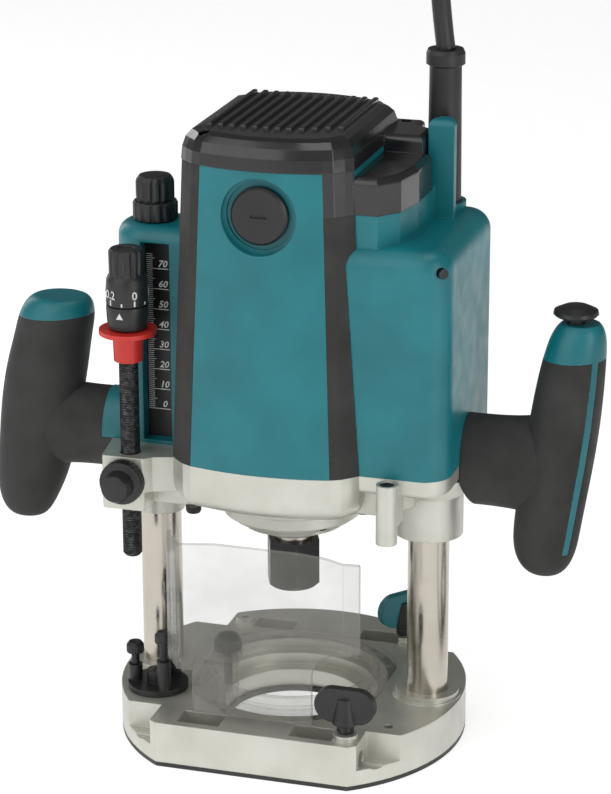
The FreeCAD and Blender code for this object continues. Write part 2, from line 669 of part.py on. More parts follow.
def top_cover():
    """Glossy cover: domed and ribbed on top, with stepped lobes at the right."""
    low, top = float(d.cover_low), float(d.cover_top)
    share = [(low, 0.0), (low + 6.0, -0.5), (top - 5.0, -1.8), (top - 2.2, -4.2), (top - 1.1, -7.5)]
    body = Part.makeLoft([housing_wire(z, float(d.panel_top_half) + grow * 0.6, float(d.panel_top_y) + 0.3 + grow,
                                       float(d.side_top_x) + 0.3 + grow) for z, grow in share], True, True)
    body = body.cut(tube_z(12.05, low - 1, low + 6))
    body = body.cut(tube_z(34.0, low - 1, low + 4).cut(tube_z(14.5, low - 2, low + 5)))
    first = -30.0
    pitch = 60.0 / (RIBS - 1)
    for index in range(RIBS):
        x = first + index * pitch
        start = -31.0 + max(0.0, x - 10.0) * 0.5
        rib = Part.makeBox(2.6, 38.0 - start, 3.6, V(x - 1.3, start, top - 3.0))
        rib = rounded(rib, 1.0, lambda edge: at_height(top + 0.6)(edge))
        body = body.fuse(rib)
    body = body.fuse(corner_strip(1, STRIP_TOP, low))
    shape = [(36, -38.5), (52, -38.5), (60.5, -28), (64, -10), (64, 14), (36, 14)]
    lobe = slab(shape, STRIP_TOP, 290.0)
    lobe = rounded(lobe, 3.5, lambda edge: at_height(290.0)(edge) and edge.BoundBox.XMax > 37.0)
    rear = slab([(30, 12), (59.8, 12), (59.8, 31), (52, 36), (52, 46), (30, 46)], STRIP_TOP, 298.0)
    rear = rounded(rear, 3.0, lambda edge: at_height(298.0)(edge) and edge.BoundBox.XMax > 31.0)
    housing = Part.makeLoft([housing_at(STRIP_TOP - 4), housing_at(low)], True, True)
    lobes = lobe.fuse(rear).cut(housing)
    body = body.fuse(lobes).removeSplitter()
    for x, y, z in COVER_SCREWS:
        body = body.cut(tube_z(2.6, z, z + 20, x, y))
    return made("top_cover", body)


COVER_SCREWS = [(-29.0, -40.5, 298.5), (44.5, 40.0, 294.0), (-29.0, 40.5, 298.5)]


def cover_screws():
    screws = []
    for index, (x, y, z) in enumerate(COVER_SCREWS):
        screws.append(cylinder("cover_screw_%d" % index, 2.5, 2.4, (x, y, z)))
    section = [(0, 0), (2.3, 0), (2.3, 1.6), (1.4, 1.6), (1.4, 4.5), (0, 4.5)]
    side = turned("side_cover_screw", section, RECESS)
    side.Placement = FreeCAD.Placement(V(*RECESS) + V(-2.0, 2.0, 0), FreeCAD.Rotation(UP, V(-1, 1, 0)))
    screws.append(side)
    return group("cover_screws", screws)


# ---------------------------------------------------------------- bracket

def motor_bracket():
    """Cast bracket: skirt under the motor, lobes round both columns, depth-rod clamp."""
    top, low = float(d.housing_low), float(d.skirt_low)
    levels = [(top, 0.0), (low + 7, -0.4), (low + 2.5, -2.0), (low, -6.0)]
    body = Part.makeLoft([housing_wire(z, float(d.panel_low_half) + grow * 0.4, float(d.panel_low_y) + grow,
                                       float(d.side_low_x) + grow) for z, grow in levels], True, False)
    body = body.fuse(tube_z(d.retainer_radius + 2.5, d.retainer_top, low + 2))
    body = body.fuse(left_lobe()).fuse(right_lobe())
    body = body.cut(tube_z(36.0, float(d.retainer_top) + 13, top + 1))
    body = body.cut(tube_z(20.05, d.retainer_top, float(d.retainer_top) + 12.2))
    body = body.cut(tube_z(11.5, d.retainer_top, top))
    for sign in (-1, 1):
        x = float(d.column_x) * sign
        body = body.cut(tube_z(d.column_radius + d.sliding_fit, 90, 160, x, 0))
    body = body.cut(tube_z(d.rod_radius + d.running_gap, 100, 160, -d.rod_x, -d.rod_y))
    clamp_hole = Part.makeCylinder(3.05, 20, V(-float(d.rod_x), -float(d.rod_y) - 20, float(d.lock_z)), V(0, 1, 0))
    body = body.cut(clamp_hole)
    button = Part.makeCylinder(5.3, 30, V(0, 40, 136), V(0, 1, 0))
    pin = Part.makeCylinder(3.3, 60, V(0, 5, 136), V(0, 1, 0))
    body = body.cut(button).cut(pin)
    lever = Part.makeCylinder(4.1, 30, V(-66, 12, 128), V(0, 1, 0))
    return made("motor_bracket", body.cut(lever).removeSplitter())


def left_lobe():
    low, top = float(d.lobe_low), float(d.lobe_top)
    plan = [(-83.2, -40.3), (-62.6, -40.3), (-58.9, -36.5), (-47.5, -33.0), (-40, -30), (-40, 26), (-80, 26),
            (-86.4, 18), (-86.4, -15.7)]
    lobe = slab(plan, low, top)
    lobe = rounded(lobe, 2.0, lambda edge: upright(edge) and edge.BoundBox.XMax < -60)
    undercut = Part.makeBox(30, 30, 10, V(-62, -45, low - 1))
    lobe = lobe.cut(undercut.cut(Part.makeBox(40, 60, 12, V(-70, -26, low - 2))))
    collar = tube_z(float(d.column_radius) + 1.9, d.collar_low_left, low, -float(d.column_x), 0)
    return lobe.fuse(collar)


def right_lobe():
    top = float(d.housing_low)
    x, radius = float(d.column_x), float(d.collar_radius)
    shelf = side_box(top - 9.0, top, 0.2)
    shelf = rounded(shelf, 3.0, lambda edge: at_height(top - 9.0)(edge) and edge.BoundBox.XMax > 60)
    web = slab([(30, -36), (54, -36), (66, -20), (66, 20), (40, 40), (30, 40)], float(d.skirt_low), top)
    flare = Part.makeCone(radius, radius + 7.0, 11.0, V(x, 0, top - 20.0))
    collar = tube_z(radius, d.collar_low_right, top - 2, x, 0)
    boss = tube_z(5.0, 119.0, top - 0.6, 60.3, -48.6).fuse(Part.makeBox(8, 14, 20, V(56.3, -48.0, top - 23)))
    body = shelf.fuse(web).fuse(flare).fuse(collar).fuse(boss)
    return body.cut(tube_z(3.6, top - 4.4, top + 1, 60.3, -48.6))


def bearing_retainer():
    """Round plate under the skirt that holds the lower bearing and carries the nose."""
    rim = float(d.retainer_radius)
    low, top = d.retainer_low, d.retainer_top
    section = [(10.1, 0), (14.0, 0), (26.0, 5.5), (26.6, 6.6), (30.6, 8.8), (31.2, 10.0), (rim, 11.2),
               (rim, top - low), (10.1, top - low)]
    body = turned("retainer_body", section, (0, 0, low))
    tools = []
    for index in range(4):
        angle = math.radians(45 + 90 * index)
        spot = (27.6 * math.cos(angle), 27.6 * math.sin(angle), low)
        tools.append(cylinder("retainer_hole_%d" % index, 2.0, 20, spot))
        tools.append(cylinder("retainer_sink_%d" % index, 3.8, 12.1, spot))
    return cut("bearing_retainer", body, tools)


def retainer_screws():
    screws = []
    for index in range(4):
        angle = math.radians(45 + 90 * index)
        section = [(0, 0), (3.6, 0), (3.6, 2.6), (1.95, 2.6), (1.95, 8.0), (0, 8.0)]
        screws.append(turned("retainer_screw_%d" % index, section,
                             (27.6 * math.cos(angle), 27.6 * math.sin(angle), d.retainer_low + 9.4)))
    return screws


BRACKET_SCREWS = [(42.4, -25.0), (-42.4, -25.0), (42.4, 25.0), (-42.4, 25.0)]


def bracket_screws():
    """Screws up through the bracket into the motor housing: heads under the skirt."""
    screws = []
    for index, (x, y) in enumerate(BRACKET_SCREWS):
        low = float(d.lobe_low if x < 0 else d.skirt_low) - 3.2
        section = [(0, 0), (3.2, 0), (3.8, 0.8), (3.8, 3.2), (0, 3.2)]
        screws.append(turned("bracket_screw_%d" % index, section, (x, y, Size(low, repr(low)))))
    screws.append(cylinder("boss_screw", 3.5, 3.2, (60.3, -48.6, d.housing_low - 4.4)))
    return group("bracket_screws", screws + retainer_screws())


# ---------------------------------------------------------------- depth stop

def depth_stop():
    """Threaded rod with its dial ring, fine-adjustment knob and red sliding pointer."""
    x, y = -d.rod_x, -d.rod_y
    rod_tall = 225.0 - float(d.rod_low)
    bar = turned("depth_rod_bar", [(0, 0), (3.6, 0), (d.rod_radius, 1.6), (d.rod_radius, rod_tall), (0, rod_tall)],
                 (x, y, d.rod_low))
    ring = turned("depth_ring", [(4.0, 0), (9.6, 0), (10.0, 0.6), (10.0, 11.6), (4.0, 11.6)],
                  (x, y, 207.2))
    knob_section = [(4.75, 0), (9.6, 0), (9.9, 0.5), (9.9, 12.0), (8.0, 14.4), (8.0, 26.0), (7.0, 27.0), (0, 27.0),
                    (0, 6.4), (4.75, 6.4)]
    knob_body = turned("depth_knob_body", knob_section, (x, y, 219.0))
    knob = scalloped("depth_knob", knob_body, 14, 8.2, 0.75, (x, y, Size(234.6, "234.6")), 14.0)
    flange = [(4.75, 0), (6.9, 0), (7.3, 13.2), (13.7, 13.4), (13.7, 15.6), (4.75, 15.6)]
    pointer = turned("depth_pointer", flange, (x, y, 191.0))
    return fuse("depth_rod", [bar, ring]), knob, pointer


def rod_lock_knob():
    section = [(0, 0), (3.0, 0), (3.0, 4.3), (10.7, 4.3), (10.7, 10.8), (7.1, 10.8), (7.1, 18.0), (5.6, 19.4),
               (0, 19.4)]
    y = -d.rod_y - d.rod_radius - 0.3
    body = turned("rod_lock_body", section, (-d.rod_x, y, d.lock_z), "-y")
    at = (-d.rod_x, Size(-40.5, "-40.5"), d.lock_z)
    return scalloped("rod_lock_knob", body, 16, 10.8, 0.8, at, 8.0, "-y")


# ---------------------------------------------------------------- spindle

def spindle_parts():
    shaft_section = [(7.55, 0), (9.75, 0), (9.75, 27.5), (d.shaft_radius, 28.5), (d.shaft_radius, 209.0),
                     (5.0, 209.0), (5.0, 216.0), (0, 216.0), (0, 34.0), (7.55, 30.0)]
    parts = [turned("spindle_shaft", shaft_section, (0, 0, 76.0))]
    sleeve = [(d.collet_bore, 0), (7.5, 0), (7.5, 26.0), (d.collet_bore, 26.0)]
    parts.append(turned("collet", sleeve, (0, 0, 75.4)))
    core = cylinder("core_disc", d.core_radius, 56.0, (0, 0, 182.0))
    parts.append(cut("armature_core", core, [cylinder("core_hole", d.shaft_radius, 60, (0, 0, 180.0))]))
    bundle = [(d.shaft_radius, 0), (20.0, 0), (24.0, 2.5), (24.0, 7.5), (20.0, 10.0), (d.shaft_radius, 10.0)]
    ends = [turned("winding_" + name, bundle, (0, 0, z)) for name, z in (("low", 171.8), ("high", 238.2))]
    parts.append(group("armature_windings", ends))
    parts.append(turned("commutator", [(d.shaft_radius, 0), (16.0, 0), (16.0, 2.0), (14.0, 2.0), (14.0, 26.0),
                                       (d.shaft_radius, 26.0)], (0, 0, 257.0)))
    parts.append(cooling_fan())
    return parts


def cooling_fan():
    """Radial fan: a hub disc with upright blades."""
    pieces = [turned("fan_disc", [(d.shaft_radius, 0), (34.0, 0), (34.0, 2.0), (13.0, 2.0), (13.0, 14.0),
                                  (d.shaft_radius, 14.0)], (0, 0, 152.0))]
    for index in range(12):
        angle = 30.0 * index
        blade = block("fan_blade_%d" % index, (20.5, 1.4, 12.5),
                      (12.8 * math.cos(math.radians(angle)), 12.8 * math.sin(math.radians(angle)), 153.0), angle)
        pieces.append(blade)
    return fuse("cooling_fan", pieces)


def collet_nut():
    """Hexagon nut with a chamfered nose."""
    corner = d.nut_flats / math.sqrt(3.0)
    tall = d.nut_top - d.nut_low
    body = prism("nut_hexagon", 6, corner, tall, (0, 0, d.nut_low), "+z", 30.0 + NUT_TURN)
    cap = turned("nut_envelope", [(0, 0), (11.6, 0), (14.0, 2.2), (14.0, 24.8), (12.4, tall), (0, tall)],
                 (0, 0, d.nut_low))
    shaped = common("nut_shaped", body, cap)
    tools = [cylinder("nut_thread", 9.8, 30, (0, 0, d.nut_low + 2.6)), cylinder("nut_mouth", 7.8, 30, (0, 0, 60))]
    return cut("collet_nut", shaped, tools)


NUT_TURN = -37.0


BEARINGS = [("lower_bearing", 119.1, 8.05, 20.0, 12.0), ("upper_bearing", 285.6, 5.05, 12.0, 7.0)]


def motor_fixed():
    """Stator, its coils and the two bearings."""
    stack = [(28.0, 0), (d.stator_radius, 0), (d.stator_radius, 64.0), (28.0, 64.0)]
    iron = turned("stator_core", stack, (0, 0, 178.0))
    coils = [turned("field_coil_" + name, [(29.0, 0), (36.0, 0), (36.0, 9.8), (29.0, 9.8)], (0, 0, z))
             for name, z in (("low", 168.1), ("high", 242.1))]
    bearings = []
    for name, z, bore, outer, tall in BEARINGS:
        bearings.append(turned(name, [(bore, 0), (outer, 0), (outer, tall), (bore, tall)], (0, 0, z)))
    return group("stator", [iron] + coils), group("bearings", bearings)


# ---------------------------------------------------------------- handles

LEFT_GRIP = [(94.4, -137.8, 6.0, 5.0), (97.0, -138.0, 10.6, 9.0), (104.5, -137.4, 14.6, 12.4),
             (118.0, -134.8, 17.8, 14.8), (136.0, -131.8, 19.4, 16.2), (156.0, -128.8, 20.3, 16.6),
             (175.0, -125.3, 20.2, 16.5), (192.0, -121.6, 19.2, 16.2), (202.0, -119.4, 18.2, 15.4),
             (207.4, -118.2, 15.8, 13.2), (209.8, -117.6, 11.6, 9.6)]
RIGHT_GRIP = [(93.0, 125.2, 5.0, 4.5), (96.2, 124.8, 10.5, 9.5), (103.5, 124.8, 14.2, 12.6),
              (115.0, 125.6, 15.8, 14.2), (132.0, 127.8, 16.3, 15.0), (150.0, 130.4, 16.5, 15.5),
              (170.0, 132.9, 16.5, 15.5), (190.0, 135.3, 15.6, 14.6), (203.0, 137.0, 14.4, 13.2),
              (212.5, 138.4, 12.6, 11.2), (218.6, 139.2, 9.0, 8.0)]


def grip(sections):
    wires = [oval(V(x, 0, z), long, short, UP, V(1, 0, 0)) for z, x, long, short in sections]
    return Part.makeLoft(wires, True, False)


def arm(sections):
    wires = [oval(V(x, 0, float(z)), float(tall), float(deep), V(1, 0, 0), UP) for x, z, tall, deep in sections]
    return Part.makeLoft(wires, True, False)


def lean_slab(sections, inner, outer, low, high):
    """A band that follows the grip's lean, between two shares of its half width."""
    middle = [row for row in sections if low < row[0] < high]
    ends = [(low, lean_at(sections, low)), (high, lean_at(sections, high))]
    rows = [ends[0]] + [(row[0], (row[1], row[2])) for row in middle] + [ends[1]]
    near = [V(x + inner * half, -30, z) for z, (x, half) in rows]
    far = [V(x + outer * half, -30, z) for z, (x, half) in rows]
    loop = near + list(reversed(far))
    return Part.Face(Part.makePolygon(loop + [loop[0]])).extrude(V(0, 60, 0))


def lean_at(sections, z):
    for below, above in zip(sections, sections[1:]):
        if below[0] <= z <= above[0]:
            share = (z - below[0]) / (above[0] - below[0])
            return below[1] + share * (above[1] - below[1]), below[2] + share * (above[2] - below[2])
    return sections[-1][1:3]


def over_plane(low_left, low_right, half=60.0, tall=60.0):
    """Everything above a sloping line from one end to the other (x, z), as a thick block."""
    (x1, z1), (x2, z2) = low_left, low_right
    face = Part.Face(Part.makePolygon([V(x1, -half, z1), V(x2, -half, z2), V(x2, -half, z2 + tall),
                                       V(x1, -half, z1 + tall), V(x1, -half, z1)]))
    return face.extrude(V(0, 2 * half, 0))


def handles():
    deep = float(d.arm_half_deep)
    tall = float(d.arm_half_tall)
    z = float(d.arm_left_z)
    left_grip = grip(LEFT_GRIP)
    left_arm = arm([(-84.0, z, tall, deep), (-95.0, z, tall - 0.3, deep - 0.6), (-108.0, z, tall, deep - 0.8),
                    (-128.0, z, tall + 3.0, deep - 2.0)])
    keep_out = slab([(-86.6, -60), (-60, -60), (-60, 60), (-86.6, 60)], 100, 260)
    keep_out = keep_out.fuse(Part.makeBox(40, 120, 100, V(-92.0, -60, float(d.lobe_top))))
    cap_zone = over_plane((-160, 198.0), (-90, 203.0))
    left_whole = left_grip.fuse(left_arm.cut(keep_out)).removeSplitter()
    parts = [made("handle_left_cap", left_grip.common(cap_zone))]
    parts.append(made("handle_left_grip", left_whole.cut(cap_zone)))
    z = float(d.arm_right_z)
    right_grip = grip(RIGHT_GRIP)
    right_arm = arm([(76.0, z, tall + 2.0, deep + 1.0), (90.0, z, tall + 1.8, deep),
                     (106.0, z, tall + 2.2, deep - 1.0), (128.0, z, tall + 6.0, deep - 2.0)])
    solid_box = side_box(float(d.housing_low) - 9.1, d.box_top, 0.0)
    low_zone = Part.makeCylinder(float(d.collar_radius) + 7.4, 60, V(float(d.column_x), 0, 90))
    right_arm = right_arm.cut(solid_box).cut(low_zone)
    right_arm = max(right_arm.Solids, key=lambda solid: solid.Volume)
    cap_zone = over_plane((100, 200.0), (160, 203.0))
    bore = tube_z(4.3, 196, 230, 136.8, 0)
    pocket = trigger_block(0.35, 2.4, 40.0, 0.4)
    whole = right_grip.fuse(right_arm).removeSplitter().cut(pocket).cut(bore)
    stripe_zone = lean_slab(RIGHT_GRIP, 0.70, 0.85, 106.0, 206.0)
    pad_zone = lean_slab(RIGHT_GRIP, 0.85, 1.3, 106.0, 206.0)
    cap = whole.common(cap_zone)
    lower = whole.cut(cap_zone)
    crown = made("handle_right_crown", cap)
    stripe = made("handle_right_stripe", lower.common(stripe_zone))
    parts.append(group("handle_right_cap", [crown, stripe]))
    parts.append(made("handle_right_pad", lower.common(pad_zone)))
    parts.append(made("handle_right_grip", lower.cut(stripe_zone).cut(pad_zone)))
    return parts


TRIGGER_TURN = 120.0
TRIGGER_SPOT = (134.6, 0.0)


def trigger_block(play, start, finish, tall_play):
    """The trigger's own block, or with play added, the pocket that it slides in."""
    half = 5.4 + play
    body = Part.makeBox(finish - start, 2 * half, 25.0 + 2 * tall_play, V(start, -half, 173.5 - tall_play))
    body.rotate(ORIGIN, UP, TRIGGER_TURN)
    body.translate(V(TRIGGER_SPOT[0], TRIGGER_SPOT[1], 0))
    return body


def switch_trigger():
    body = trigger_block(0.0, 8.4, 20.4, 0.0)
    return made("switch_trigger", body.makeFillet(2.2, [edge for edge in body.Edges if at_height(173.5)(edge)
                                                        or at_height(198.5)(edge)]))


def lock_off_button():
    section = [(0, 0), (4.0, 0), (4.0, 20.0), (9.6, 20.0), (10.6, 21.0), (10.2, 22.6), (6.0, 24.6), (0, 25.2)]
    return turned("lock_off_button", section, (136.8, 0, 202.0))


def shaft_lock_button():
    section = [(0, 0), (3.2, 0), (3.2, 31.0), (5.2, 31.0), (5.2, 48.0), (4.2, 49.4), (0, 49.4)]
    return turned("shaft_lock_button", section, (0, 13.2, 136.0), "+y")


def plunge_lock_lever():
    """Lever behind the left column: a pin into the bracket, a hub and a flat arm."""
    pin = cylinder("lever_pin", 4.0, 14.3, (-66.0, 12.3, 128.0), "+y")
    hub = cylinder("lever_hub", 8.0, 8.0, (-66.0, 26.6, 128.0), "+y")
    plate = padded("lever_arm", [(0, -7.0), (34.0, -4.4), (38.0, -2.0), (38.0, 3.4), (34.0, 5.0), (0, 7.0)], 6.0,
                   (-66.0, 33.6, 128.0))
    plate.Placement = FreeCAD.Placement(V(-66.0, 33.6, 128.0), FreeCAD.Rotation(V(1, 0, 0), 90).multiply(
        FreeCAD.Rotation(UP, 195)))
    return fuse("plunge_lock_lever", [pin, hub, plate])


# ---------------------------------------------------------------- inside the right housing

def inner_gear():
    spring = turned("plunge_spring", [(5.7, 0), (6.9, 0), (6.9, 241.0), (5.7, 241.0)], (d.column_x, 0, 8.4))
    module = block("control_module", (28.0, 15.0, 58.0), (52.0, 17.0, 170.0))
    clamp_bar = block("cord_clamp", (20.0, 6.0, 8.0), (53.2, 37.0, 224.0))
    return spring, module, clamp_bar


# ---------------------------------------------------------------- cord

CORD_ROUTE = [(63.2, 40, 334), (60, 40, 357), (58, 40, 397), (65, 41, 431), (89, 42, 456), (122, 42, 465),
              (155, 40, 456), (178, 36, 432), (187, 29, 399), (190, 16, 346), (189, -3, 286), (187, -23, 226),
              (186, -42, 168), (186, -56, 112), (186, -60, 72), (186, -53, 43), (186, -34, 18), (186, -4, 7),
              (186, 21, 5)]


def cord_path(points):
    """Straight runs joined by tangent arcs, each as large as its two runs allow."""
    edges = []
    radii = []
    start = points[0]
    for before, corner, after in zip(points, points[1:], points[2:]):
        back, ahead = before - corner, after - corner
        half_turn = (math.pi - back.getAngle(ahead)) / 2
        reach = 0.45 * min(back.Length, ahead.Length)
        radii.append(reach / math.tan(half_turn))
        first = corner + back.normalize() * reach
        last = corner + ahead.normalize() * reach
        bisector = (back + ahead).normalize()
        middle = corner + bisector * (radii[-1] / math.cos(half_turn) - radii[-1])
        edges.append(line(start, first))
        edges.append(arc(first, middle, last))
        start = last
    edges.append(line(start, points[-1]))
    return Part.Wire(edges), radii


def cord_lead():
    points = [V(*point) for point in CORD_ROUTE]
    path, radii = cord_path(points)
    radius = float(d.cord_diameter) / 2
    ring = Part.Wire([Part.Circle(points[0], points[1] - points[0], radius).toShape()])
    tube = path.makePipeShell([ring], True, False)
    expected = math.pi * radius ** 2 * path.Length
    print("cord arcs", [round(value) for value in radii], "length %.0f" % path.Length)
    print("cord volume over section times length: %.4f" % (tube.Volume / expected))
    return made("cord_lead", tube)


def cord_coil():
    """The outer shape of the coiled cord: a flat ring on the floor."""
    half, tall = d.coil_half_wide, d.coil_tall
    mid = d.coil_mid
    bevel = 3.0
    section = [(mid - half, bevel), (mid - half + bevel, 0), (mid + half - bevel, 0), (mid + half, bevel),
               (mid + half, tall - bevel), (mid + half - bevel, tall), (mid - half + bevel, tall),
               (mid - half, tall - bevel)]
    return turned("cord_coil", section, (d.coil_x, d.coil_y, 0))


def plug():
    """A flat two-pin plug with a tapered neck, and its two pins."""
    y = d.coil_y + d.plug_out
    neck = cone("plug_neck", 5.6, 8.0, 20.0, (d.plug_x, y, 9.0), "+x")
    body = block("plug_body", (30.0, 30.0, 16.0), (d.plug_x + 18.0, y - 15.0, 1.0))
    pins = [cylinder("plug_pin", 2.4, 19.0, (d.plug_x + 48.0, y + way * 9.5, 9.0), "+x") for way in (-1, 1)]
    return group("plug", [fuse("plug_moulding", [neck, body])] + pins)


# ---------------------------------------------------------------- assembly

def build():
    nodes = [base_casting(), sole_plate(), base_screws(), column("left", -1, False), column("right", 1, True)]
    nodes += list(limit_stops())
    nodes.append(stop_turret())
    nodes += [stop_screw(name, angle, head) for name, angle, post, head in POSTS]
    springs = []
    for name, x, sign, turn in (("front", 44.0, -1, 0.0), ("rear", 40.0, 1, 50.0)):
        nodes += clamp(name, x, sign, turn)
        springs += clamp_spring(name, x, sign)
    nodes.append(group("clamp_springs", springs))
    nodes += [deflector_base(), deflector_shield(), deflector_knob()]
    nodes += [motor_housing(), trim_strips()] + list(brush_set())
    nodes += [left_tower(), scale_plate(), side_cover(), top_cover(), cover_screws()]
    nodes += [motor_bracket(), bearing_retainer(), bracket_screws()]
    nodes += list(depth_stop()) + [rod_lock_knob()]
    nodes += spindle_parts() + [collet_nut()] + list(motor_fixed())
    nodes += handles() + [switch_trigger(), lock_off_button(), shaft_lock_button(), plunge_lock_lever()]
    nodes += list(inner_gear()) + [cord_guard(), cord_lead(), cord_coil(), plug()]
    return nodes


def cord_guard():
    section = [(4.6, 0), (6.9, 0), (6.9, 19.0), (8.2, 19.0), (d.guard_radius, 86.0), (9.2, 87.0), (9.2, 92.0),
               (8.4, 94.0), (4.6, 94.0)]
    return turned("cord_guard", section, (d.guard_x, d.guard_y, d.guard_top - 94.0))


def write(nodes):
    doc.recompute()
    bad = [thing.Name for thing in doc.Objects if "Invalid" in thing.State or "Error" in thing.State]
    for node in nodes:
        if node.Shape.isNull() or not node.Shape.isValid() or not node.Shape.Solids:
            bad.append(node.Label)
    if bad:
        raise RuntimeError("failed: " + ", ".join(bad))
    os.makedirs("parts", exist_ok=True)
    for node in nodes:
        node.Shape.exportStep("parts/%s.step" % node.Label)
    print("%d nodes written" % len(nodes))


write(build())
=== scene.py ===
import bpy
import json
import math
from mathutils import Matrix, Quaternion, Vector


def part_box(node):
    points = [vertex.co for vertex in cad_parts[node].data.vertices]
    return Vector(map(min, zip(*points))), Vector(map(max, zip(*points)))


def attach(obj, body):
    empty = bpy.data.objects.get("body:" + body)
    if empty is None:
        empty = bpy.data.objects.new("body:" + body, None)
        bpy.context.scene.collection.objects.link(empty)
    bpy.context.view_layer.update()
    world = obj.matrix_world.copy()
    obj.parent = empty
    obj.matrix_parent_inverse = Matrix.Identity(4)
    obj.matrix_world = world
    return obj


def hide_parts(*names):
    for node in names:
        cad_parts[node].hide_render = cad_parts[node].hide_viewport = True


# Two-handled plunge router. The CAD frame gives every place and size; the pieces
# made here stand for its nodes with finer shapes, or sit on them. Lengths in the
# code are millimetres, and mm() turns them into Blender's metres.

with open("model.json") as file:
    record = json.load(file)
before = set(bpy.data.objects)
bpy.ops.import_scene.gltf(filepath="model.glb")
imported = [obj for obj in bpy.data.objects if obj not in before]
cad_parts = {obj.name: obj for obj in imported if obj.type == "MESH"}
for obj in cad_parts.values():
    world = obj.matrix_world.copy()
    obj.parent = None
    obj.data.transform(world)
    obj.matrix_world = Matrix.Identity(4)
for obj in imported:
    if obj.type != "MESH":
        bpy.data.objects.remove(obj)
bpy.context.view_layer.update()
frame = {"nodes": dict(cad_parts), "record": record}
NODES = frame["nodes"]
MM = 0.001


def mm(*values):
    return Vector(values) * MM


# ---------------------------------------------------------------- camera, floor, lights

def make_camera():
    """Long lens from the front right, a little above the handles."""
    azimuth, elevation, roll = math.radians(17.01), math.radians(19.1), math.radians(-0.15)
    back = Vector((math.sin(azimuth) * math.cos(elevation), -math.cos(azimuth) * math.cos(elevation),
                   math.sin(elevation)))
    data = bpy.data.cameras.new("camera")
    data.sensor_width = 36.0
    data.lens = 136.0
    camera = bpy.data.objects.new("camera", data)
    bpy.context.scene.collection.objects.link(camera)
    camera.location = mm(6.36, 0.0, 169.32) + back * 1.43434
    camera.rotation_mode = "QUATERNION"
    camera.rotation_quaternion = (-back).to_track_quat("-Z", "Y") @ Quaternion((0, 0, 1), roll)
    bpy.context.scene.camera = camera


def area_light(name, spot, aim, size, power, tint=(1.0, 1.0, 1.0)):
    data = bpy.data.lights.new(name, "AREA")
    data.shape = "RECTANGLE"
    data.size, data.size_y = size
    data.energy = power
    data.color = tint
    light = bpy.data.objects.new(name, data)
    bpy.context.scene.collection.objects.link(light)
    light.location = spot
    light.rotation_euler = (Vector(aim) - Vector(spot)).to_track_quat("-Z", "Y").to_euler()


def make_world():
    """Soft white surroundings, dimmer behind the object than in front of it."""
    world = bpy.data.worlds.new("studio")
    bpy.context.scene.world = world
    world.use_nodes = True
    tree = world.node_tree
    place = tree.nodes.new("ShaderNodeTexCoord")
    split = tree.nodes.new("ShaderNodeSeparateXYZ")
    fade = tree.nodes.new("ShaderNodeMapRange")
    tree.links.new(place.outputs["Generated"], split.inputs[0])
    tree.links.new(split.outputs["Y"], fade.inputs["Value"])
    for socket, value in (("From Min", -0.6), ("From Max", 0.8), ("To Min", 0.42), ("To Max", 0.12)):
        fade.inputs[socket].default_value = value
    backdrop = tree.nodes["Background"]
    backdrop.inputs["Color"].default_value = (1.0, 1.0, 1.0, 1.0)
    tree.links.new(fade.outputs[0], backdrop.inputs["Strength"])


def make_studio():
    bpy.context.scene.view_settings.view_transform = "Standard"
    make_world()
    area_light("key", (-0.75, -1.15, 1.05), (0.0, 0.0, 0.15), (1.8, 1.8), 11.5)
    area_light("fill", (1.3, -0.8, 0.55), (0.0, 0.0, 0.15), (0.4, 1.2), 6.5)
    area_light("top", (0.2, -0.1, 1.6), (0.0, 0.0, 0.2), (0.9, 0.7), 3.5)
    area_light("rim", (-1.4, 0.9, 0.7), (0.0, 0.0, 0.2), (0.5, 1.0), 4.0)
    mesh = bpy.data.meshes.new("floor")
    reach = 4.0
    mesh.from_pydata([(-reach, -reach, 0), (reach, -reach, 0), (reach, reach, 0), (-reach, reach, 0)], [],
                     [(0, 1, 2, 3)])
    floor = bpy.data.objects.new("floor", mesh)
    bpy.context.scene.collection.objects.link(floor)
    floor.location.z = -0.0004
    paper = plain("floor_paper", (0.52, 0.52, 0.517), (0.56, 0.56, 0.557), 0.9, grain=(900.0, 0.02),
                  Emission_Color=(1.0, 1.0, 1.0, 1.0), Emission_Strength=0.74)
    mesh.materials.append(paper)


# ---------------------------------------------------------------- materials

